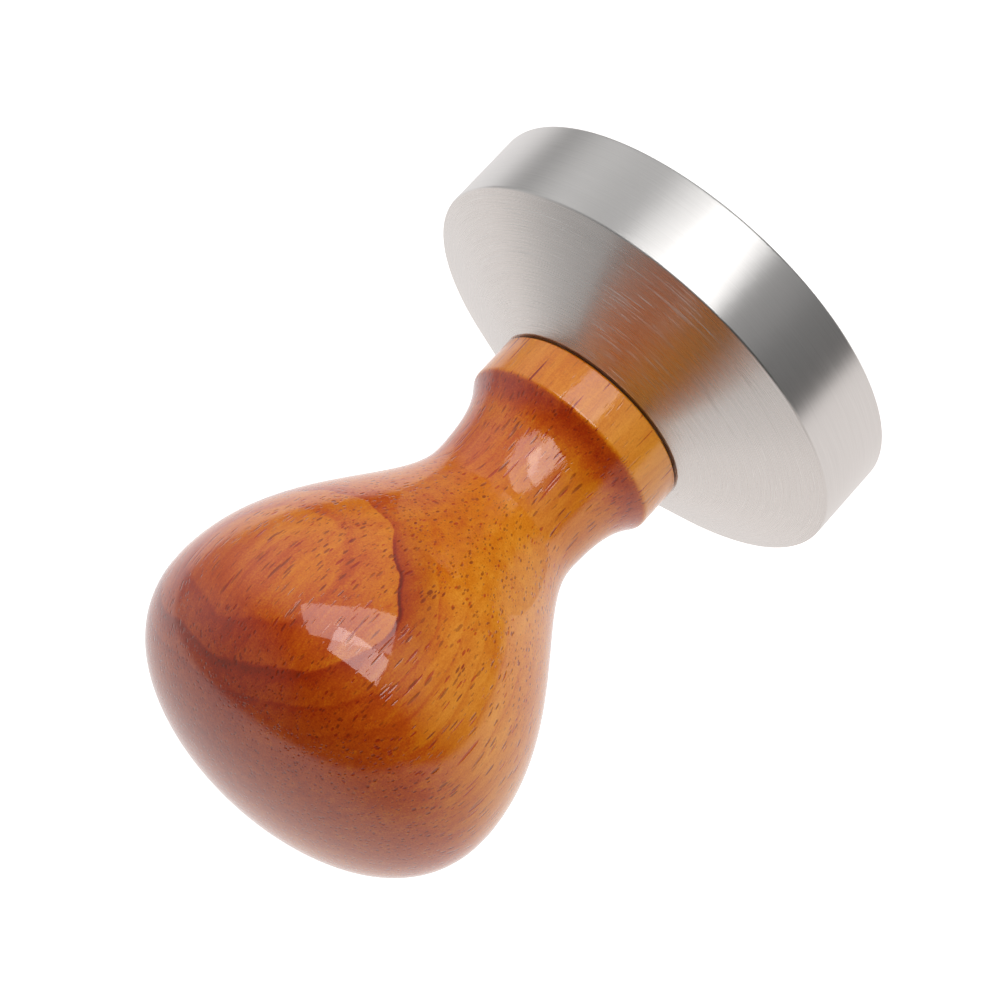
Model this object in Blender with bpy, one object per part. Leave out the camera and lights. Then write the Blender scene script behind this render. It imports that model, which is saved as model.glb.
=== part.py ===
"""Espresso tamper: a turned steel base, a turned wooden handle and the screw that joins them.

Metres, +Z up. The origin is the centre of the tamping face, which lies in the plane z = 0.
Every piece is turned or threaded about the Z axis, the axis that the handle unscrews on.
"""

import bmesh
import bpy
from math import cos, radians, sin, tan, tau
from mathutils import Matrix, Vector
from mathutils.geometry import interpolate_bezier

# Gaps between pieces
SEAT_GAP = 0.00005            # between flat faces that rest on each other
THREAD_GAP = 0.0003           # between a thread and the bore round it

# Steel base
BASE_RADIUS = 0.0290
RIM_HEIGHT = 0.01075          # straight rim, up to the cone
LAND_HEIGHT = 0.01835         # flat land at the top of the cone
LAND_RADIUS = 0.01305
FACE_FILLET = 0.0004          # round the tamping face
RIM_FILLET = 0.0003
LAND_FILLET = 0.0002
RECESS_DEPTH = 0.0002         # shallow seat for the washer
RECESS_RADIUS = 0.0121
BASE_SIDES = 64

# Washer between base and handle
WASHER_THICKNESS = 0.0004
WASHER_OUTER_RADIUS = 0.0118
WASHER_INNER_RADIUS = 0.0064

# M8 stud
STUD_LENGTH = 0.0300
STUD_RADIUS = 0.0040
STUD_ROOT_RADIUS = 0.0034
STUD_PITCH = 0.00125
STUD_TURNS = 23
STUD_SIDES = 16
STUD_BOTTOM = 0.0053
SOCKET_ACROSS_FLATS = 0.0040
SOCKET_DEPTH = 0.0040

# Blind hole that the stud sits in
HOLE_RADIUS = STUD_RADIUS + THREAD_GAP
HOLE_FLOOR = STUD_BOTTOM - THREAD_GAP
HOLE_MOUTH = 0.0008           # chamfer at the mouth
DRILL_POINT_ANGLE = radians(118)

# Brass insert in the handle
INSERT_LENGTH = 0.0140
INSERT_RADIUS = 0.0060
INSERT_ROOT_RADIUS = 0.0052
INSERT_PITCH = 0.0025
INSERT_TURNS = 5
INSERT_SIDES = 24
INSERT_SETBACK = 0.0004       # from the end of the handle
SLOT_WIDTH = 0.0015
SLOT_DEPTH = 0.0020

# Wooden handle: heights are above the tamping face
HANDLE_BOTTOM = LAND_HEIGHT - RECESS_DEPTH + WASHER_THICKNESS + 2 * SEAT_GAP
COLLAR_RADIUS = 0.0130
COLLAR_CHAMFER = 0.0003
RIDGE_HEIGHT = 0.0242
RIDGE_RADIUS = 0.0130
RIDGE_FILLET = 0.0010
FLANK_LENGTH = 0.0006         # straight run below the cove
FLANK_ANGLE = radians(35)     # from the axis
NECK_HEIGHT = 0.03435
NECK_RADIUS = 0.0104
BELLY_HEIGHT = 0.0650
BELLY_RADIUS = 0.02367
TOP_HEIGHT = 0.0806
COVE_PULL = 0.0019            # how far each tangent of the outline pulls on it
NECK_PULL_DOWN = 0.0060
NECK_PULL_UP = 0.0070
BELLY_PULL_DOWN = 0.0145
BELLY_PULL_UP = 0.0120
DOME_PULL = 0.0097
HANDLE_SIDES = 48
COVE_STEPS, SWELL_STEPS, DOME_STEPS = 8, 14, 10

# Bore in the handle
POCKET_RADIUS = INSERT_RADIUS + THREAD_GAP
POCKET_DEPTH = INSERT_SETBACK + INSERT_LENGTH + THREAD_GAP
TIP_BORE_RADIUS = 0.0046
TIP_BORE_TOP = STUD_BOTTOM + STUD_LENGTH + 0.0010

SHARP_ANGLE = radians(30)


def clear_scene():
    for item in list(bpy.data.objects):
        bpy.data.objects.remove(item, do_unlink=True)


def material(name, colour, roughness, metallic):
    made = bpy.data.materials.new(name)
    made.use_nodes = True
    shader = made.node_tree.nodes["Principled BSDF"]
    shader.inputs["Base Color"].default_value = (*colour, 1)
    shader.inputs["Roughness"].default_value = roughness
    shader.inputs["Metallic"].default_value = metallic
    return made


def make_object(name, bm, finish=None, height=0.0):
    """Turns a bmesh into a named object that stands at a height on the Z axis."""
    bmesh.ops.recalc_face_normals(bm, faces=bm.faces)
    mesh = bpy.data.meshes.new(name)
    bm.to_mesh(mesh)
    bm.free()
    mesh.shade_smooth()
    mesh.set_sharp_from_angle(angle=SHARP_ANGLE)
    made = bpy.data.objects.new(name, mesh)
    made.location.z = height
    if finish:
        mesh.materials.append(finish)
    bpy.context.scene.collection.objects.link(made)
    return made


def parent_to(child, parent):
    """Parents a piece and keeps its place: both stand on the Z axis, unturned."""
    child.parent = parent
    child.location.z -= parent.location.z


def cut(piece, name, bm, height):
    """Takes a cutter out of a piece; its height is in the piece's own frame."""
    cutter = make_object(name, bm, height=height)
    cutter.parent = piece
    cutter.hide_render = True
    cutter.display_type = "WIRE"
    boolean = piece.modifiers.new(name, "BOOLEAN")
    boolean.operation = "DIFFERENCE"
    boolean.object = cutter


def rounded(corners, steps=3):
    """The outline through corners (radius, height, fillet), each fillet drawn as an arc."""
    outline = []
    for index, (radius, height, fillet) in enumerate(corners):
        here = Vector((radius, height))
        if not fillet:
            outline.append(here)
            continue
        back = (Vector(corners[index - 1][:2]) - here).normalized()
        ahead = (Vector(corners[index + 1][:2]) - here).normalized()
        half_angle = back.angle(ahead) / 2
        centre = here + (back + ahead).normalized() * fillet / sin(half_angle)
        start = (here + back * fillet / tan(half_angle) - centre).normalized()
        end = (here + ahead * fillet / tan(half_angle) - centre).normalized()
        outline += [centre + start.slerp(end, step / steps) * fillet for step in range(steps + 1)]
    return outline


def turned(outline, sides, closed=False):
    """Spins an outline of (radius, height) points a full turn about the Z axis."""
    bm = bmesh.new()
    points = [bm.verts.new((radius, 0, height)) for radius, height in outline]
    edges = [bm.edges.new(pair) for pair in zip(points, points[1:])]
    if closed:
        edges.append(bm.edges.new((points[-1], points[0])))
    bmesh.ops.spin(bm, geom=points + edges, cent=(0, 0, 0), axis=(0, 0, 1), angle=tau, steps=sides,
                   use_merge=True)
    bmesh.ops.remove_doubles(bm, verts=bm.verts, dist=1e-7)
    return bm


def threaded_rod(length, crest_radius, root_radius, pitch, turns, sides):
    """A rod with a real right-hand thread, from z = 0 up to its length, and both ends chamfered.

    Two lines of points climb the rod together, one along the root and one along the crest.
    The crest rises out of the root over the first turn and sinks back over the last one.
    """
    bm = bmesh.new()
    lead = (length - turns * pitch) / 2
    end_radius = root_radius - lead
    steps = turns * sides

    def point(radius, height, step):
        angle = tau * step / sides
        return bm.verts.new((radius * cos(angle), radius * sin(angle), height))

    def crest(step):
        run_out = min(1, step / sides, (steps - sides - step) / sides)
        radius = root_radius + (crest_radius - root_radius) * run_out
        return point(radius, lead + pitch * (step / sides + 0.5), step)

    root_line = [point(root_radius, lead + pitch * step / sides, step) for step in range(steps + 1)]
    crest_line = [crest(step) for step in range(steps - sides + 1)]
    bottom = [point(end_radius, 0, step) for step in range(sides)]
    top = [point(end_radius, length, step) for step in range(sides)]
    for step in range(steps - sides):
        bm.faces.new((root_line[step], root_line[step + 1], crest_line[step + 1], crest_line[step]))
        bm.faces.new((crest_line[step], crest_line[step + 1], root_line[step + 1 + sides],
                      root_line[step + sides]))
    last = steps - sides
    for step in range(sides):
        after = (step + 1) % sides
        bm.faces.new((bottom[step], bottom[after], root_line[step + 1], root_line[step]))
        bm.faces.new((root_line[last + step], root_line[last + step + 1], top[after], top[step]))
    bm.faces.new((bottom[0], root_line[0], crest_line[0], root_line[sides]))
    bm.faces.new((top[0], root_line[last], crest_line[last], root_line[steps]))
    bm.faces.new(bottom)
    bm.faces.new(top)
    return bm


def tamper_base(finish):
    recess_floor = LAND_HEIGHT - RECESS_DEPTH
    drill_point = HOLE_FLOOR - HOLE_RADIUS / tan(DRILL_POINT_ANGLE / 2)
    outline = rounded([
        (0, 0, 0),
        (BASE_RADIUS, 0, FACE_FILLET),
        (BASE_RADIUS, RIM_HEIGHT, RIM_FILLET),
        (LAND_RADIUS, LAND_HEIGHT, LAND_FILLET),
        (RECESS_RADIUS, LAND_HEIGHT, 0),
        (RECESS_RADIUS, recess_floor, 0),
        (HOLE_RADIUS + HOLE_MOUTH, recess_floor, 0),
        (HOLE_RADIUS, recess_floor - HOLE_MOUTH, 0),
        (HOLE_RADIUS, HOLE_FLOOR, 0),
        (0, drill_point, 0),
    ])
    return make_object("tamper_base", turned(outline, BASE_SIDES), finish)


def seat_washer(finish):
    outline = [
        (WASHER_INNER_RADIUS, 0),
        (WASHER_OUTER_RADIUS, 0),
        (WASHER_OUTER_RADIUS, WASHER_THICKNESS),
        (WASHER_INNER_RADIUS, WASHER_THICKNESS),
    ]
    height = LAND_HEIGHT - RECESS_DEPTH + SEAT_GAP
    return make_object("seat_washer", turned(outline, HANDLE_SIDES, closed=True), finish, height)


def threaded_stud(finish):
    rod = threaded_rod(STUD_LENGTH, STUD_RADIUS, STUD_ROOT_RADIUS, STUD_PITCH, STUD_TURNS, STUD_SIDES)
    stud = make_object("threaded_stud", rod, finish, STUD_BOTTOM)
    socket = bmesh.new()
    corner_radius = SOCKET_ACROSS_FLATS / 2 / cos(tau / 12)
    bmesh.ops.create_cone(socket, cap_ends=True, segments=6, radius1=corner_radius,
                          radius2=corner_radius, depth=2 * SOCKET_DEPTH)
    cut(stud, "hex_socket", socket, STUD_LENGTH)
    return stud


def threaded_insert(finish):
    rod = threaded_rod(INSERT_LENGTH, INSERT_RADIUS, INSERT_ROOT_RADIUS, INSERT_PITCH, INSERT_TURNS,
                       INSERT_SIDES)
    insert = make_object("threaded_insert", rod, finish, HANDLE_BOTTOM + INSERT_SETBACK)
    bore = bmesh.new()
    bmesh.ops.create_cone(bore, cap_ends=True, segments=INSERT_SIDES, radius1=HOLE_RADIUS,
                          radius2=HOLE_RADIUS, depth=2 * INSERT_LENGTH)
    cut(insert, "insert_bore", bore, INSERT_LENGTH / 2)
    slot = bmesh.new()
    slot_size = Matrix.Diagonal((4 * INSERT_RADIUS, SLOT_WIDTH, 2 * SLOT_DEPTH, 1))
    bmesh.ops.create_cube(slot, size=1, matrix=slot_size)
    cut(insert, "driver_slot", slot, 0)
    return insert


def handle_outline():
    """From the top of the bore down to the end face, then up the outside to the crown."""
    flank = Vector((-sin(FLANK_ANGLE), cos(FLANK_ANGLE)))
    flank_top = Vector((RIDGE_RADIUS, RIDGE_HEIGHT)) + flank * FLANK_LENGTH
    neck = Vector((NECK_RADIUS, NECK_HEIGHT))
    belly = Vector((BELLY_RADIUS, BELLY_HEIGHT))
    crown = Vector((0, TOP_HEIGHT))
    up = Vector((0, 1))
    outward = Vector((1, 0))
    pocket_top = HANDLE_BOTTOM + POCKET_DEPTH
    bore_and_collar = rounded([
        (0, TIP_BORE_TOP, 0),
        (TIP_BORE_RADIUS, TIP_BORE_TOP, 0),
        (TIP_BORE_RADIUS, pocket_top, 0),
        (POCKET_RADIUS, pocket_top, 0),
        (POCKET_RADIUS, HANDLE_BOTTOM, 0),
        (COLLAR_RADIUS - COLLAR_CHAMFER, HANDLE_BOTTOM, 0),
        (COLLAR_RADIUS, HANDLE_BOTTOM + COLLAR_CHAMFER, 0),
        (RIDGE_RADIUS, RIDGE_HEIGHT, RIDGE_FILLET),
        (*flank_top, 0),
    ])
    cove = interpolate_bezier(flank_top, flank_top + flank * COVE_PULL,
                              neck - up * NECK_PULL_DOWN, neck, COVE_STEPS + 1)
    swell = interpolate_bezier(neck, neck + up * NECK_PULL_UP,
                               belly - up * BELLY_PULL_DOWN, belly, SWELL_STEPS + 1)
    dome = interpolate_bezier(belly, belly + up * BELLY_PULL_UP,
                              crown + outward * DOME_PULL, crown, DOME_STEPS + 1)
    return bore_and_collar + cove[1:] + swell[1:] + dome[1:]


def handle(finish):
    own_frame = [(radius, height - HANDLE_BOTTOM) for radius, height in handle_outline()]
    return make_object("handle", turned(own_frame, HANDLE_SIDES), finish, HANDLE_BOTTOM)


def build():
    clear_scene()
    steel = material("brushed_steel", (0.60, 0.59, 0.57), 0.32, 1)
    stud_steel = material("bright_steel", (0.55, 0.55, 0.56), 0.25, 1)
    brass = material("brass", (0.78, 0.57, 0.28), 0.30, 1)
    rubber = material("black_rubber", (0.02, 0.02, 0.02), 0.70, 0)
    wood = material("lacquered_wood", (0.48, 0.17, 0.04), 0.25, 0)

    base = tamper_base(steel)
    parent_to(threaded_stud(stud_steel), base)
    seat_washer(rubber)
    grip = handle(wood)
    parent_to(threaded_insert(brass), grip)


build()
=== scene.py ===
"""The looks of the espresso tamper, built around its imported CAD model."""

import math

import bmesh
import bpy
from mathutils import Matrix, Vector


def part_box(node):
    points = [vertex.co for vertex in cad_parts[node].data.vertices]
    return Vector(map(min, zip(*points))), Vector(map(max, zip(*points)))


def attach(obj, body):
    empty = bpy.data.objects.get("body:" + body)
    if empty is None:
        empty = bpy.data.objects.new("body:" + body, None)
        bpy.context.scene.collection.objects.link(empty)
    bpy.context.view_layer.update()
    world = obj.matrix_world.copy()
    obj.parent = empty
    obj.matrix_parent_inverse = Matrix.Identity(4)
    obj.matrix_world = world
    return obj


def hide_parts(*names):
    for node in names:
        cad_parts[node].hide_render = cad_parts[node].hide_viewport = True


# Camera: the tamper is seen from a little above its base, rolled so that the handle points down left
CAMERA_TARGET = (0.0019, 0.0, 0.0337)
CAMERA_DISTANCE = 0.4486
CAMERA_ELEVATION = 19.81
CAMERA_ROLL = -137.27
CAMERA_LENS = 140.68

MILLIMETRES = 1000.0          # in a metre

# Growth rings of the wood, in millimetres and degrees: distances are from the pith, far behind
RING_AZIMUTH = 43.0
PITH_DISTANCE = 60.0
RING_LEAN = 0.04
LEAN_CENTRE = 65.0            # height where the lean is nothing
RING_SPACING = 2.6
RING_START = 82.0
DARK_RING = 79.2
LINE_HEIGHTS = (49.0, 56.0, 59.0, 67.0)
BAND_HEIGHTS = (42.0, 56.0, 58.0, 66.0)
LINE_FADE_AZIMUTH = 75.0      # towards it, the thin line and the brown band fade
GOLDEN_AZIMUTH = -25.0
DEEP_AZIMUTH = 60.0

# The stain's colours, from a depth of 0 to 1.6, and the colour that the brown band is tinted by
WOOD_GOLDEN = (0.97, 0.37, 0.025, 1)
WOOD_ORANGE = (0.80, 0.225, 0.004, 1)
WOOD_RED = (0.62, 0.095, 0.002, 1)
WOOD_DEEP = (0.44, 0.035, 0.001, 1)
WOOD_PORE = (0.22, 0.020, 0.002, 1)
BAND_TINT = (0.84, 0.76, 0.80, 1)
FIRST_DEPTH = 0.30

STEEL_DARK, STEEL_LIGHT = (0.625, 0.61, 0.598, 1), (0.67, 0.655, 0.642, 1)
# The near-white that the scratches are lightened to is a painted glint, standing for the light they catch
STEEL_SCRATCH_GLINT = (0.95, 0.94, 0.93, 1)
# Threaded metal: the dark colours are painted shade down in the thread roots, and also tint the stains
STUD_LIGHT, STUD_DARK = (0.58, 0.57, 0.55, 1), (0.22, 0.21, 0.20, 1)
BRASS_LIGHT, BRASS_DARK = (0.80, 0.56, 0.22, 1), (0.38, 0.22, 0.07, 1)
RUBBER_BLACK, RUBBER_BLOOM = (0.012, 0.012, 0.013, 1), (0.035, 0.034, 0.032, 1)

# Light. Directions are camera right, up and back, as in towards(). A white table lies below and
# behind the tamper, dimmer towards the camera; the studio walls are dark with soft glows.
TABLE_EDGES = ((0.120, 0.620, 0.730), (-0.364, 0.465, 0.820))
EDGE_SOFTNESS = (-0.09, 0.06)
TABLE_LEFT, TABLE_RIGHT = (1.03, 1.03, 1.045, 1), (1.06, 1.01, 0.99, 1)
TABLE_LOW, TABLE_LOW_SIDE = (0.98, 0.92, 0.89, 1), (-0.4, -0.9, 0)
TABLE_NEAR, TABLE_NEAR_LOSS = (0.0, -0.866, 0.5), 0.45
WHITE, BLACK = (1, 1, 1, 1), (0, 0, 0, 1)
STUDIO_DIM = 0.015
# direction, brightness, degrees from its centre to its end
STUDIO_GLOWS = (((-0.09, 0.97, 0.21), 0.76, 50), ((0.85, 0.30, 0.43), 0.30, 45),
                ((-0.80, 0.55, -0.25), 0.42, 50), ((-0.97, 0.05, 0.20), 0.34, 50),
                ((0.66, 0.27, 0.71), 0.26, 24))
SOFTBOX_DISTANCE = 0.8
# name, degrees right and up from the camera, degrees wide and high, roll, radiance
SOFTBOXES = (("softbox_wide", 11, 40, 50, 24, 0, 2.45), ("softbox_bright", 13, 21, 32, 22, -29, 3.9))

FLOOR_GAP = 0.0001
FLOOR_HALF_WIDTH = 3.0
RIM_TOP = 0.0107              # the cone above it is a little glossier than the rim, and scratched
CONE_START = 0.0002           # the change takes this much height

ROUND_SIDES = 192
THREAD_SIDES = 72
CREST_SHARE = 0.14            # flat width of a thread's crest, as a share of its pitch
WASHER_ROUNDING = 0.00010
STUD_ROOT_RADIUS, STUD_PITCH = 0.0034, 0.00125
SOCKET_RADIUS, SOCKET_DEPTH = 0.0040 / math.sqrt(3), 0.0040
INSERT_ROOT_RADIUS, INSERT_PITCH = 0.0052, 0.0025
INSERT_BORE, SLOT_WIDTH, SLOT_DEPTH = 0.0043, 0.0015, 0.0020
CORNER_ANGLE = 32             # an outline turns more than this only at a real corner
STRAIGHT_RATIO = 3            # a neighbour this much longer is a straight run, which an arc leaves
SMOOTH_STEPS = 4


# ---------------------------------------------------------------- turned shapes

def outline_of(node):
    """The CAD outline of a turned node as (radius, height) points, in order.

    It is read off the mesh's edges in the half-plane y = 0, x >= 0. A flat cap has no edge there,
    so an end of the outline that is off the axis is joined to it by a level line.
    """
    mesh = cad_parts[node].data
    places = [(round(v.co.x, 6), round(v.co.z, 6)) for v in mesh.vertices]
    flat = [abs(v.co.y) < 1e-6 and v.co.x > -1e-6 for v in mesh.vertices]
    links = {}
    for edge in mesh.edges:
        first, second = edge.vertices
        if flat[first] and flat[second] and places[first] != places[second]:
            links.setdefault(places[first], set()).add(places[second])
            links.setdefault(places[second], set()).add(places[first])
    ends = [place for place, others in links.items() if len(others) == 1]
    here = min(ends or links, key=lambda place: place[1])
    outline, seen = [here], {here}
    while True:
        ahead = [place for place in links[here] if place not in seen]
        if not ahead:
            break
        here = min(ahead)
        outline.append(here)
        seen.add(here)
    if ends:
        if outline[0][0] > 0:
            outline.insert(0, (0.0, outline[0][1]))
        if outline[-1][0] > 0:
            outline.append((0.0, outline[-1][1]))
    return [Vector(place) for place in outline]


def smooth_outline(points, steps=SMOOTH_STEPS):
    """The same outline with its arcs and curves drawn finely; corners and straight runs stay."""
    count = len(points)
    spans = [points[i + 1] - points[i] for i in range(count - 1)]

    def is_corner(i):
        return i in (0, count - 1) or spans[i - 1].angle(spans[i]) > math.radians(CORNER_ANGLE)

    def tangent(i, span):
        """The direction at point i for the curve over a span that starts or ends there."""
        if i in (0, count - 1):
            level = Vector((math.copysign(1, span.x), 0))
            near_level = abs(span.y) < abs(span.x) * math.tan(math.radians(20))
            return level if near_level else span.normalized()
        if is_corner(i):
            return span.normalized()
        before, after = spans[i - 1], spans[i]
        if before.length > STRAIGHT_RATIO * after.length:
            return before.normalized()
        if after.length > STRAIGHT_RATIO * before.length:
            return after.normalized()
        return (before.normalized() * after.length + after.normalized() * before.length).normalized()

    outline = [points[0]]
    for i, span in enumerate(spans):
        start, end = tangent(i, span), tangent(i + 1, span)
        straight = start.angle(span) < 1e-3 and end.angle(span) < 1e-3
        for step in range(1, 1 if straight else steps):
            t = step / steps
            outline.append(points[i] * (2 * t**3 - 3 * t**2 + 1)
                           + points[i + 1] * (3 * t**2 - 2 * t**3)
                           + start * span.length * (t**3 - 2 * t**2 + t)
                           + end * span.length * (t**3 - t**2))
        outline.append(points[i + 1])
    return outline


def ridge_height():
    """Height of the ridge round the collar: the highest widest place below the handle's neck."""
    low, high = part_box("handle")
    lower_part = [point for point in outline_of("handle") if point.y < low.z + 0.2 * (high.z - low.z)]
    widest = max(point.x for point in lower_part)
    return max(point.y for point in lower_part if point.x > 0.99 * widest)


def revolved(name, outline, sides=ROUND_SIDES, closed=False):
    """An object turned about the Z axis from an outline that runs with the solid on its left."""
    rings, places = [], []
    for radius, height in outline:
        if radius < 1e-7:
            rings.append([len(places)] * sides)
            places.append((0, 0, height))
        else:
            rings.append(range(len(places), len(places) + sides))
            places += [(radius * math.cos(math.tau * i / sides), radius * math.sin(math.tau * i / sides),
                        height) for i in range(sides)]
    if closed:
        rings.append(rings[0])
    faces = []
    for low, high in zip(rings, rings[1:]):
        for i in range(sides):
            j = (i + 1) % sides
            corners = dict.fromkeys((low[i], low[j], high[j], high[i]))
            if len(corners) > 2:
                faces.append(tuple(corners))
    return finished(name, places, faces)


def rounded_corners(outline, fillet, steps=4):
    """A closed outline with each corner replaced by a small curve."""
    rounded = []
    for before, corner, after in zip(outline[-1:] + outline[:-1], outline, outline[1:] + outline[:1]):
        start = corner + (before - corner).normalized() * fillet
        end = corner + (after - corner).normalized() * fillet
        rounded += [start * (1 - t) ** 2 + corner * 2 * t * (1 - t) + end * t ** 2
                    for t in (step / steps for step in range(steps + 1))]
    return rounded


def threaded_rod(name, node, root_radius, pitch, sides=THREAD_SIDES):
    """A rod in the place of a CAD one, with a right-hand thread and both ends chamfered.

    Three lines of points climb it together: one on the root, and two along the flat crest, which
    rises out of the root over the first turn and sinks back over the last one.
    """
    low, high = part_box(node)
    crest_radius, length = (high.x - low.x) / 2, high.z - low.z
    turns = int(length / pitch - 0.5)
    lead = (length - turns * pitch) / 2
    end_radius = root_radius - lead
    steps = turns * sides
    places, faces = [], []

    def point(radius, height, step):
        angle = math.tau * step / sides
        places.append((radius * math.cos(angle), radius * math.sin(angle), low.z + height))
        return len(places) - 1

    def crest(step, share):
        run_out = min(1, step / sides, (steps - sides - step) / sides)
        return point(root_radius + (crest_radius - root_radius) * run_out,
                     lead + pitch * (step / sides + 0.5 + (share - 0.5) * CREST_SHARE * run_out), step)

    root = [point(root_radius, lead + pitch * step / sides, step) for step in range(steps + 1)]
    under = [crest(step, 0) for step in range(steps - sides + 1)]
    over = [crest(step, 1) for step in range(steps - sides + 1)]
    bottom = [point(end_radius, 0, step) for step in range(sides)]
    top = [point(end_radius, length, step) for step in range(sides)]
    for step in range(steps - sides):
        faces.append((root[step], root[step + 1], under[step + 1], under[step]))
        faces.append((under[step], under[step + 1], over[step + 1], over[step]))
        faces.append((over[step], over[step + 1], root[step + 1 + sides], root[step + sides]))
    last = steps - sides
    for step in range(sides):
        after = (step + 1) % sides
        faces.append((bottom[step], bottom[after], root[step + 1], root[step]))
        faces.append((root[last + step], root[last + step + 1], top[after], top[step]))
    faces.append((bottom[0], root[0], under[0], over[0], root[sides]))
    faces.append((top[0], root[last], under[last], over[last], root[steps]))
    faces += [tuple(reversed(bottom)), tuple(top)]
    return finished(name, places, faces)


def finished(name, places, faces):
    """An object from places and faces, smooth apart from its real edges."""
    mesh = bpy.data.meshes.new(name)
    mesh.from_pydata(places, [], faces)
    mesh.validate()
    sharpen(mesh)
    made = bpy.data.objects.new(name, mesh)
    bpy.context.scene.collection.objects.link(made)
    return made


def sharpen(mesh):
    mesh.shade_smooth()
    mesh.set_sharp_from_angle(angle=math.radians(CORNER_ANGLE))


def cut(piece, sides, size, place):
    """Cuts a prism out of a piece: size is its radius, or its (x, y), and its depth along Z."""
    radius, depth = size
    tool = bmesh.new()
    if isinstance(radius, tuple):
        bmesh.ops.create_cube(tool, size=1, matrix=Matrix.Diagonal((*radius, depth, 1)))
    else:
        bmesh.ops.create_cone(tool, cap_ends=True, segments=sides, radius1=radius, radius2=radius,
                              depth=depth)
    mesh = bpy.data.meshes.new("tool")
    tool.to_mesh(mesh)
    tool.free()
    cutter = bpy.data.objects.new("tool", mesh)
    cutter.location = place
    bpy.context.scene.collection.objects.link(cutter)
    boolean = piece.modifiers.new("cut", "BOOLEAN")
    boolean.object, boolean.operation, boolean.solver = cutter, "DIFFERENCE", "EXACT"
    bpy.context.view_layer.update()
    result = bpy.data.meshes.new_from_object(piece.evaluated_get(bpy.context.evaluated_depsgraph_get()))
    piece.modifiers.clear()
    old, piece.data = piece.data, result
    result.name = piece.name
    sharpen(result)
    bpy.data.objects.remove(cutter)
    bpy.data.meshes.remove(mesh)
    bpy.data.meshes.remove(old)


def camera_rotation():
    """The camera's rotation: it looks along +Y and down, then rolls about its own line of sight."""
    elevation = math.radians(CAMERA_ELEVATION)
    back = Vector((0, -math.cos(elevation), math.sin(elevation)))
    look = (-back).to_track_quat("-Z", "Y").to_matrix()
    return look @ Matrix.Rotation(math.radians(CAMERA_ROLL), 3, "Z")


def make_camera():
    camera = bpy.data.objects.new("camera", bpy.data.cameras.new("camera"))
    camera.data.lens = CAMERA_LENS
    camera.data.clip_start, camera.data.clip_end = 0.01, 20
    rotation = camera_rotation()
    place = Vector(CAMERA_TARGET) + rotation.col[2] * CAMERA_DISTANCE
    camera.matrix_world = Matrix.Translation(place) @ rotation.to_4x4()
    bpy.context.scene.collection.objects.link(camera)
    bpy.context.scene.camera = camera


# ---------------------------------------------------------------- node helpers

class Nodes:
    """Short calls for building a node tree: each takes sockets or plain values, and returns a socket."""

    def __init__(self, tree):
        self.tree = tree

    def node(self, kind, inputs=None, **settings):
        made = self.tree.nodes.new(kind)
        for name, value in settings.items():
            setattr(made, name, value)
        for key, value in (inputs or {}).items():
            if isinstance(value, bpy.types.NodeSocket):
                self.tree.links.new(value, made.inputs[key])
            else:
                made.inputs[key].default_value = value
        return made

    def math(self, operation, first, second=0.0):
        return self.node("ShaderNodeMath", {0: first, 1: second}, operation=operation).outputs[0]

    def times(self, first, second):
        return self.math("MULTIPLY", first, second)

    def plus(self, first, second):
        return self.math("ADD", first, second)

    def swing(self, value, amount):
        """A 0..1 value moved to swing about zero, and scaled."""
        return self.times(self.math("SUBTRACT", value, 0.5), amount)

    def vector(self, operation, first, second=(0, 0, 0)):
        made = self.node("ShaderNodeVectorMath", {0: first, 1: second}, operation=operation)
        scalar = operation in ("DOT_PRODUCT", "LENGTH")
        return made.outputs["Value" if scalar else "Vector"]

    def combine(self, x, y, z):
        return self.node("ShaderNodeCombineXYZ", {0: x, 1: y, 2: z}).outputs[0]

    def separate(self, vector):
        return self.node("ShaderNodeSeparateXYZ", {0: vector}).outputs

    def ramp(self, value, low, high, to_low=0.0, to_high=1.0, smooth=True):
        """Maps low..high to to_low..to_high, and holds the ends."""
        kind = "SMOOTHSTEP" if smooth else "LINEAR"
        made = self.node("ShaderNodeMapRange", {0: value, 1: low, 2: high, 3: to_low, 4: to_high},
                         interpolation_type=kind)
        return made.outputs[0]

    def window(self, value, start, full, fading, gone, rest=0.0):
        """Rises from 0 to 1 over start..full, and falls to a rest over fading..gone."""
        return self.times(self.ramp(value, start, full), self.ramp(value, fading, gone, 1.0, rest))

    def scaled(self, vector, factor):
        made = self.node("ShaderNodeVectorMath", {0: vector, "Scale": factor}, operation="SCALE")
        return made.outputs[0]

    def place(self):
        return self.node("ShaderNodeTexCoord").outputs["Object"]

    def noise(self, vector, scale, detail=2.0, roughness=0.5, w=None):
        inputs = {"Vector": vector, "Scale": scale, "Detail": detail, "Roughness": roughness}
        if w is not None:
            inputs["W"] = w
        made = self.node("ShaderNodeTexNoise", inputs,
                         noise_dimensions="4D" if w is not None else "3D")
        return made.outputs[0]

    def mix(self, amount, first, second, blend="MIX"):
        made = self.node("ShaderNodeMix", {0: amount, 6: first, 7: second}, data_type="RGBA",
                         blend_type=blend)
        return made.outputs[2]


def new_material(name):
    made = bpy.data.materials.new(name)
    made.use_nodes = True
    nodes = Nodes(made.node_tree)
    shader = made.node_tree.nodes["Principled BSDF"]
    return made, nodes, shader


def plug(nodes, shader, **sockets):
    """Links or sets the shader's sockets; an underscore in a name stands for a space."""
    for name, value in sockets.items():
        socket = shader.inputs[name.replace("_", " ")]
        if isinstance(value, bpy.types.NodeSocket):
            nodes.tree.links.new(value, socket)
        else:
            socket.default_value = value


# ---------------------------------------------------------------- materials

def facing(azimuth):
    """The level direction at an azimuth in degrees, where 0 is the front and 90 is +X."""
    angle = math.radians(azimuth)
    return math.sin(angle), -math.cos(angle), 0.0


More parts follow.
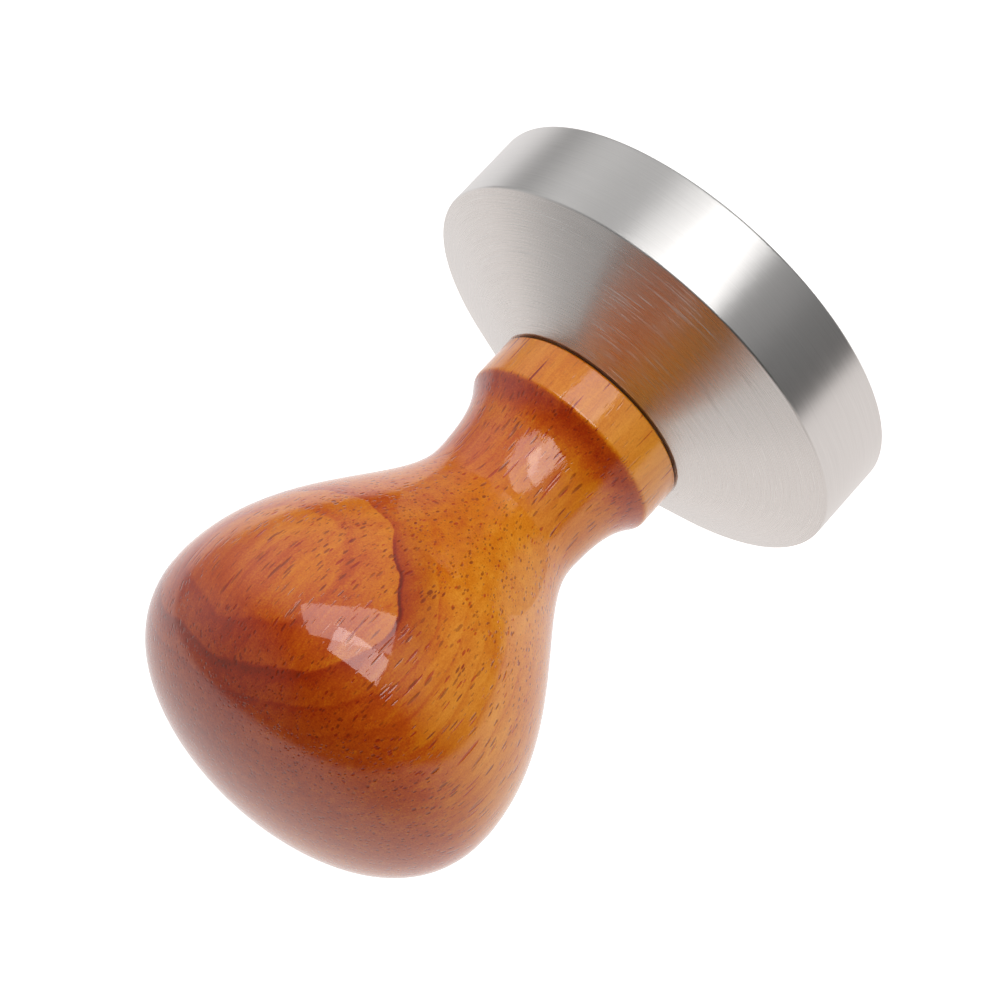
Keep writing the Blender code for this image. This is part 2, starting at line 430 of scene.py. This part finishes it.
def brushed_steel():
    """Stainless steel brushed on the lathe: every line runs round the Z axis."""
    material, nodes, shader = new_material("brushed_steel")
    x, y, z = nodes.separate(nodes.place())
    radius = nodes.vector("LENGTH", nodes.combine(x, y, 0.0))
    turn = nodes.vector("NORMALIZE", nodes.combine(x, y, 0.0))

    def lines(fineness, spin, detail, seed):
        """Noise that changes quickly across the brush lines and slowly along them."""
        across = nodes.combine(0.0, 0.0, nodes.times(radius, fineness))
        along = nodes.scaled(turn, spin)
        rise = nodes.plus(nodes.times(z, fineness), seed)
        return nodes.noise(nodes.vector("ADD", across, along), 1.0, detail, 0.6, w=rise)

    fine = lines(16000, 6.0, 1.0, 0.0)
    coarse = lines(3000, 2.0, 2.0, 7.0)
    brush = nodes.ramp(lines(18000, 4.0, 1.0, 31.0), 0.38, 0.64)
    on_cone = nodes.ramp(z, RIM_TOP, RIM_TOP + CONE_START)
    scratch = nodes.times(nodes.ramp(lines(9000, 4.5, 0.0, 57.0), 0.67, 0.75), on_cone)
    tone = nodes.plus(nodes.times(fine, 0.6), nodes.times(coarse, 0.4))
    colour = nodes.mix(nodes.ramp(tone, 0.3, 0.7), STEEL_DARK, STEEL_LIGHT)
    # Painted glint: the scratches are real wear, but their near-white colour stands for the light they
    # catch; the fine brush lines are lightened a little too
    lightening = nodes.math("MAXIMUM", nodes.times(scratch, 0.65), nodes.times(brush, 0.12))
    colour = nodes.mix(lightening, colour, STEEL_SCRATCH_GLINT)
    roughness = nodes.plus(nodes.ramp(tone, 0.3, 0.7, 0.29, 0.32), nodes.times(brush, 0.07))
    roughness = nodes.plus(roughness, nodes.times(scratch, 0.26))
    roughness = nodes.math("SUBTRACT", roughness, nodes.times(on_cone, 0.05))
    bump = nodes.node("ShaderNodeBump", {"Strength": 0.03, "Distance": 0.00002, "Height": fine})
    tangent = nodes.node("ShaderNodeTangent", direction_type="RADIAL", axis="Z")
    plug(nodes, shader, Base_Color=colour, Metallic=0.95, Roughness=roughness, Anisotropic=0.88,
         Anisotropic_Rotation=0.25, Normal=bump.outputs[0], Tangent=tangent.outputs[0])
    return material


def lacquered_wood():
    """Open-pored reddish-orange hardwood, with its grain along the handle, under clear lacquer."""
    material, nodes, shader = new_material("lacquered_wood")
    millimetres = nodes.scaled(nodes.place(), MILLIMETRES)
    x, y, z = nodes.separate(millimetres)

    def side(azimuth):
        """How far a place faces an azimuth: 1 straight on, -1 on the far side."""
        turn = nodes.vector("NORMALIZE", nodes.combine(x, y, 0.0))
        return nodes.vector("DOT_PRODUCT", turn, facing(azimuth))

    # Growth rings: they darken outwards from the pith, then start light again at a thin line
    wander = nodes.noise(nodes.combine(x, y, nodes.times(z, 0.6)), 0.09, 2.0, 0.5)
    ripple = nodes.noise(millimetres, 0.6, 2.0, 0.6)
    wander = nodes.plus(nodes.swing(wander, 3.2), nodes.swing(ripple, 0.3))
    lean = nodes.times(nodes.math("SUBTRACT", z, LEAN_CENTRE), RING_LEAN)
    rings_x, rings_y = facing(RING_AZIMUTH)[:2]
    pith_x = nodes.plus(x, rings_x * PITH_DISTANCE)
    pith_y = nodes.plus(y, rings_y * PITH_DISTANCE)
    distance = nodes.vector("LENGTH", nodes.combine(pith_x, pith_y, 0.0))
    distance = nodes.plus(nodes.math("SUBTRACT", distance, lean), wander)
    rings = nodes.math("DIVIDE", nodes.math("SUBTRACT", distance, RING_START), RING_SPACING)
    phase = nodes.math("FRACT", rings)
    contrast = nodes.ramp(distance, 72.0, 78.0, 0.15, 1.0)
    contrast = nodes.times(contrast, nodes.ramp(z, 40.0, 58.0, 0.2, 1.0))
    from_dark = nodes.math("ABSOLUTE", nodes.math("SUBTRACT", distance, DARK_RING))
    dark_ring = nodes.ramp(from_dark, 0.8, 2.0, 1.0, 0.0)
    fall = nodes.math("SUBTRACT", 1.0, nodes.ramp(phase, 0.84, 1.0))
    sharp_fall = nodes.math("SUBTRACT", 1.0, nodes.ramp(phase, 0.95, 1.0))
    crisp = nodes.times(dark_ring, nodes.ramp(z, 58.0, 65.0, 1.0, 0.1))
    sharper = nodes.times(nodes.math("SUBTRACT", sharp_fall, fall), crisp)
    fall = nodes.plus(fall, sharper)
    late_wood = nodes.math("POWER", phase, 2.0)
    late_wood = nodes.times(late_wood, nodes.times(fall, contrast))
    late_weight = nodes.plus(nodes.times(dark_ring, 0.20), 0.34)
    late_wood = nodes.times(late_wood, late_weight)
    line = nodes.times(nodes.ramp(phase, 0.84, 0.94), nodes.ramp(phase, 0.95, 1.0, 1.0, 0.0))
    line = nodes.times(line, nodes.plus(nodes.times(dark_ring, 0.7), 0.20))
    line = nodes.times(line, nodes.window(z, *LINE_HEIGHTS, rest=0.15))
    line = nodes.times(line, nodes.ramp(side(LINE_FADE_AZIMUTH), 0.2, 0.85, 1.0, 0.1))

    # A brownish band lies just inside the dark ring
    brown_band = nodes.window(distance, DARK_RING - 3.0, DARK_RING - 1.8, DARK_RING, DARK_RING + 0.4)
    brown_band = nodes.times(brown_band, nodes.window(z, *BAND_HEIGHTS, rest=0.3))
    band_fade = nodes.ramp(side(LINE_FADE_AZIMUTH), 0.3, 0.9, 1.0, 0.3)
    brown_band = nodes.times(brown_band, band_fade)

    # Fibres: fine streaks along the grain
    sway = nodes.noise(nodes.combine(x, y, nodes.times(z, 0.3)), 0.25, 1.0)
    sway = nodes.times(sway, 1.2)
    grain_x, grain_y = nodes.plus(x, sway), nodes.math("SUBTRACT", y, sway)
    streaks = nodes.noise(nodes.combine(grain_x, grain_y, nodes.times(z, 0.06)), 0.9, 3.0, 0.65)
    fibre = nodes.noise(nodes.combine(grain_x, grain_y, nodes.times(z, 0.12)), 5.0, 2.0, 0.6)
    speckle = nodes.noise(millimetres, 5.0, 1.0, 0.5)
    cloud = nodes.noise(nodes.combine(x, y, nodes.times(z, 0.7)), 0.10, 2.0, 0.5)

    ridge = MILLIMETRES * ridge_height()

    # Pores: thin vessels along the grain, so they are dashes on the sides and dots on the end grain
    def vessels(width, stretch, edge, share, seed):
        cell = nodes.combine(nodes.plus(grain_x, seed), grain_y, nodes.times(z, stretch))
        made = nodes.node("ShaderNodeTexVoronoi", {"Vector": cell, "Scale": 1 / width, "Randomness": 1.0})
        random = nodes.separate(made.outputs["Color"])
        keep = nodes.math("LESS_THAN", random[0], share)
        size = nodes.ramp(random[1], 0.0, 1.0, 0.45 * edge, edge, smooth=False)
        near = nodes.math("DIVIDE", made.outputs["Distance"], size)
        inside = nodes.times(nodes.ramp(near, 0.7, 1.1, 1.0, 0.0), keep)
        dent = nodes.times(nodes.ramp(near, 0.2, 1.3, 1.0, 0.0), keep)
        return inside, dent

    pores, pore_dents = vessels(0.55, 0.13, 0.36, 0.85, 0.0)
    small_pores, small_dents = vessels(0.36, 0.16, 0.32, 0.70, 40.0)
    stains, stain_dents = vessels(0.70, 0.045, 0.26, 1.0, 83.0)
    pores = nodes.math("MAXIMUM", pores, nodes.times(small_pores, 0.6))
    crowding = nodes.ramp(nodes.noise(millimetres, 0.35, 1.0), 0.35, 0.65, 0.60, 1.0)
    pores = nodes.times(pores, crowding)
    pores = nodes.times(pores, nodes.ramp(z, ridge - 0.5, ridge + 0.5, 0.45, 1.0))
    dents = nodes.math("MAXIMUM", pore_dents, nodes.times(small_dents, 0.5))
    dents = nodes.math("MAXIMUM", dents, stain_dents)

    # How deep the stain is, from golden (0) through orange and red to nearly black (about 1.6); just above
    # the ridge it also carries painted shade
    parts = (
        nodes.swing(cloud, 0.55),
        nodes.times(side(DEEP_AZIMUTH), 0.13),
        nodes.times(nodes.ramp(side(GOLDEN_AZIMUTH), 0.84, 0.98, 0.0, -0.12),
                    nodes.ramp(z, 62.0, 70.0, 1.0, 0.0)),
        nodes.ramp(z, 58.0, 74.0, 0.0, 0.44),
        # Deeper over the neck, from the ridge up to the bulb
        nodes.times(nodes.ramp(z, ridge, ridge + 1.0), nodes.ramp(z, 33.0, 42.0, 0.16, 0.0)),
        # Painted shade just above the ridge, with tinted lacquer pooled there as well
        nodes.times(nodes.ramp(z, ridge - 0.2, ridge + 0.4),
                    nodes.ramp(z, ridge + 0.8, ridge + 4.5, 0.46, 0.0)),
        nodes.times(nodes.ramp(z, ridge - 0.4, ridge + 0.2, 1.0, 0.0), -0.07),
        nodes.times(nodes.ramp(z, 36.0, 44.0), nodes.ramp(z, 54.0, 62.0, 0.05, 0.0)),
        late_wood,
        nodes.times(brown_band, 0.06),
        nodes.times(line, 0.75),
        nodes.swing(streaks, 0.65),
        nodes.swing(fibre, 0.30),
        nodes.swing(speckle, 0.48),
        nodes.times(stains, nodes.ramp(z, ridge - 0.5, ridge + 0.5, 1.0, 0.40)))
    depth = FIRST_DEPTH
    for part in parts:
        depth = nodes.plus(depth, part)
    colour = nodes.mix(nodes.ramp(depth, 0.0, 0.35, smooth=False), WOOD_GOLDEN, WOOD_ORANGE)
    colour = nodes.mix(nodes.ramp(depth, 0.35, 0.70, smooth=False), colour, WOOD_RED)
    colour = nodes.mix(nodes.ramp(depth, 0.70, 1.05, smooth=False), colour, WOOD_DEEP)
    colour = nodes.mix(nodes.ramp(depth, 1.05, 1.60, smooth=False), colour, WOOD_PORE)
    colour = nodes.mix(brown_band, colour, BAND_TINT, blend="MULTIPLY")
    colour = nodes.mix(nodes.times(pores, 0.74), colour, WOOD_PORE)

    waves = nodes.noise(nodes.combine(grain_x, grain_y, nodes.times(z, 0.35)), 0.7, 2.0, 0.6)
    threads = nodes.times(fibre, nodes.ramp(z, 34.0, 46.0, 0.45, 0.05))
    height = nodes.plus(nodes.times(waves, 0.5), threads)
    height = nodes.math("SUBTRACT", height, dents)
    bump = nodes.node("ShaderNodeBump", {"Strength": 1.0, "Distance": 0.000022, "Height": height})
    plug(nodes, shader, Base_Color=colour, Roughness=0.5, Specular_IOR_Level=0.1, Coat_Weight=1.0,
         Coat_Roughness=0.05, Coat_IOR=1.56, Coat_Normal=bump.outputs[0], Normal=bump.outputs[0])
    return material


def turned_metal(name, light_colour, dark_colour, roughness, root_radius, crest_radius):
    """Threaded bar: bright on the crests and darker down in the thread, which is painted shade; duller down
    there, and a little stained.
    """
    material, nodes, shader = new_material(name)
    millimetres = nodes.scaled(nodes.place(), MILLIMETRES)
    x, y, z = nodes.separate(millimetres)
    radius = nodes.vector("LENGTH", nodes.combine(x, y, 0.0))
    stain = nodes.noise(millimetres, 0.8, 3.0, 0.6)
    tool_marks = nodes.noise(nodes.combine(radius, z, 0.0), 9.0, 2.0, 0.6)
    crest = nodes.ramp(radius, root_radius * MILLIMETRES, crest_radius * MILLIMETRES)
    # Painted shade: lighter on the crests and darker down in the thread roots
    lightening = nodes.times(crest, nodes.ramp(stain, 0.3, 0.7, 0.7, 1.0))
    colour = nodes.mix(lightening, dark_colour, light_colour)
    colour = nodes.mix(nodes.ramp(stain, 0.55, 0.8, 0.0, 0.35), colour, dark_colour)
    rough = nodes.plus(nodes.ramp(tool_marks, 0.3, 0.7, roughness, roughness + 0.10),
                       nodes.ramp(lightening, 0.0, 1.0, 0.18, 0.0))
    bump = nodes.node("ShaderNodeBump", {"Strength": 0.25, "Distance": 0.00001, "Height": tool_marks})
    plug(nodes, shader, Base_Color=colour, Metallic=1.0, Roughness=rough, Normal=bump.outputs[0])
    return material


def black_rubber():
    """Dull black rubber with a fine grain and a faint grey bloom."""
    material, nodes, shader = new_material("black_rubber")
    millimetres = nodes.scaled(nodes.place(), MILLIMETRES)
    grain = nodes.noise(millimetres, 12.0, 2.0, 0.6)
    bloom = nodes.noise(millimetres, 0.7, 2.0, 0.6)
    colour = nodes.mix(nodes.ramp(bloom, 0.4, 0.75, 0.0, 0.7), RUBBER_BLACK, RUBBER_BLOOM)
    bump = nodes.node("ShaderNodeBump", {"Strength": 0.4, "Distance": 0.00002, "Height": grain})
    plug(nodes, shader, Base_Color=colour, Roughness=nodes.ramp(grain, 0.3, 0.7, 0.45, 0.65),
         Normal=bump.outputs[0])
    return material


# ---------------------------------------------------------------- light and floor

def towards(right, up, back):
    """A world direction from the camera's own right, up and back."""
    return (camera_rotation() @ Vector((right, up, back))).normalized()


def make_world():
    """A white table on one side of the tamper and a dim studio on the other; white behind it all."""
    world = bpy.data.worlds.new("studio")
    world.use_nodes = True
    bpy.context.scene.world = world
    nodes = Nodes(world.node_tree)
    background = world.node_tree.nodes["Background"]
    direction = nodes.node("ShaderNodeTexCoord").outputs["Generated"]
    above = [nodes.vector("DOT_PRODUCT", direction, tuple(towards(*edge))) for edge in TABLE_EDGES]
    above = nodes.math("MAXIMUM", *above)
    studio = STUDIO_DIM
    for centre, brightness, width in STUDIO_GLOWS:
        near = nodes.vector("DOT_PRODUCT", direction, tuple(towards(*centre)))
        glow = nodes.ramp(near, math.cos(math.radians(width)), 1, 0, brightness)
        studio = nodes.plus(studio, glow)
    to_right = nodes.vector("DOT_PRODUCT", direction, tuple(towards(1, 0, 0)))
    table = nodes.mix(nodes.ramp(to_right, -0.9, 0.5), TABLE_LEFT, TABLE_RIGHT)
    to_near = nodes.vector("DOT_PRODUCT", direction, tuple(towards(*TABLE_NEAR)))
    loss = nodes.ramp(to_near, math.cos(math.radians(45)), math.cos(math.radians(10)), 0.0, TABLE_NEAR_LOSS)
    to_low = nodes.vector("DOT_PRODUCT", direction, tuple(towards(*TABLE_LOW_SIDE)))
    table = nodes.mix(nodes.ramp(to_low, -0.1, 0.6), table, TABLE_LOW)
    table = nodes.mix(loss, table, BLACK)
    edge = nodes.ramp(above, *EDGE_SOFTNESS)
    seen = nodes.mix(edge, table, nodes.combine(studio, studio, studio))
    camera_ray = nodes.node("ShaderNodeLightPath").outputs["Is Camera Ray"]
    seen = nodes.mix(camera_ray, seen, WHITE)
    plug(nodes, background, Color=seen, Strength=1.0)


def make_softbox(name, right, up, width, height, roll, radiance):
    light = bpy.data.lights.new(name, "AREA")
    light.shape = "RECTANGLE"
    light.size = 2 * SOFTBOX_DISTANCE * math.tan(math.radians(width / 2))
    light.size_y = 2 * SOFTBOX_DISTANCE * math.tan(math.radians(height / 2))
    light.energy = radiance * light.size * light.size_y * math.pi
    away = towards(math.tan(math.radians(right)), math.tan(math.radians(up)), 1)
    across = camera_rotation().col[0]
    across = (across - across.dot(away) * away).normalized()
    turn = Matrix((across, away.cross(across), away)).transposed()
    turn = turn @ Matrix.Rotation(math.radians(roll), 3, "Z")
    made = bpy.data.objects.new(name, light)
    made.matrix_world = Matrix.Translation(Vector(CAMERA_TARGET) + away * SOFTBOX_DISTANCE) @ turn.to_4x4()
    made.visible_camera = False
    bpy.context.scene.collection.objects.link(made)


def make_floor():
    """A pale floor just under the tamper. It is clear from below, so that the underside can be seen."""
    mesh = bpy.data.meshes.new("floor")
    half = FLOOR_HALF_WIDTH
    mesh.from_pydata([(-half, -half, 0), (half, -half, 0), (half, half, 0), (-half, half, 0)], [],
                     [(0, 1, 2, 3)])
    floor = bpy.data.objects.new("floor", mesh)
    floor.location.z = -FLOOR_GAP
    material, nodes, shader = new_material("pale_floor")
    plug(nodes, shader, Base_Color=(0.8, 0.8, 0.8, 1), Roughness=0.9, Emission_Color=WHITE,
         Emission_Strength=1.0)
    below = nodes.node("ShaderNodeNewGeometry").outputs["Backfacing"]
    clear = nodes.node("ShaderNodeBsdfTransparent").outputs[0]
    seen = nodes.node("ShaderNodeMixShader", {0: below, 1: shader.outputs[0], 2: clear}).outputs[0]
    material.node_tree.links.new(seen, material.node_tree.nodes["Material Output"].inputs["Surface"])
    mesh.materials.append(material)
    for ray in ("diffuse", "glossy", "transmission", "shadow"):
        setattr(floor, f"visible_{ray}", False)
    bpy.context.scene.collection.objects.link(floor)


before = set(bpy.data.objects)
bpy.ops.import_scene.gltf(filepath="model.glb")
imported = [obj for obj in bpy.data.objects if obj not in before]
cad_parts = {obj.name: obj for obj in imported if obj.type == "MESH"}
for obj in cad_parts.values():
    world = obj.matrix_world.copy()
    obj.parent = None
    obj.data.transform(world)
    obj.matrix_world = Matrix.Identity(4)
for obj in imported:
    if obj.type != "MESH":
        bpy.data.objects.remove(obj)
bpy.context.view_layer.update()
bpy.context.scene.view_settings.view_transform = "Standard"
make_camera()
make_world()
for softbox in SOFTBOXES:
    make_softbox(*softbox)
make_floor()

base = revolved("brushed_base", smooth_outline(outline_of("tamper_base")))
grip = revolved("wooden_handle", smooth_outline(outline_of("handle")))
washer = revolved("rubber_washer", rounded_corners(outline_of("seat_washer"), WASHER_ROUNDING), closed=True)
stud = threaded_rod("fine_stud", "threaded_stud", STUD_ROOT_RADIUS, STUD_PITCH)
stud_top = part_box("threaded_stud")[1].z
cut(stud, 6, (SOCKET_RADIUS, 2 * SOCKET_DEPTH), (0, 0, stud_top))
insert = threaded_rod("fine_insert", "threaded_insert", INSERT_ROOT_RADIUS, INSERT_PITCH)
insert_low, insert_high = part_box("threaded_insert")
insert_middle = (insert_low.z + insert_high.z) / 2
cut(insert, THREAD_SIDES, (INSERT_BORE, 2 * (insert_high.z - insert_low.z)), (0, 0, insert_middle))
cut(insert, 4, ((3 * insert_high.x, SLOT_WIDTH), 2 * SLOT_DEPTH), (0, 0, insert_low.z))

stud_steel = turned_metal("stud_steel", STUD_LIGHT, STUD_DARK, 0.22,
                          STUD_ROOT_RADIUS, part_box("threaded_stud")[1].x)
brass = turned_metal("brass", BRASS_LIGHT, BRASS_DARK, 0.25, INSERT_ROOT_RADIUS, insert_high.x)
for piece, node, body, finish, slot in (
        (base, "tamper_base", "base", brushed_steel(), "brushed_steel"),
        (grip, "handle", "handle", lacquered_wood(), "lacquered_wood"),
        (washer, "seat_washer", "washer", black_rubber(), "black_rubber"),
        (stud, "threaded_stud", "base", stud_steel, "stud_steel"),
        (insert, "threaded_insert", "handle", brass, "brass")):
    piece.data.materials.append(finish)
    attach(piece, body)
    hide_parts(node)
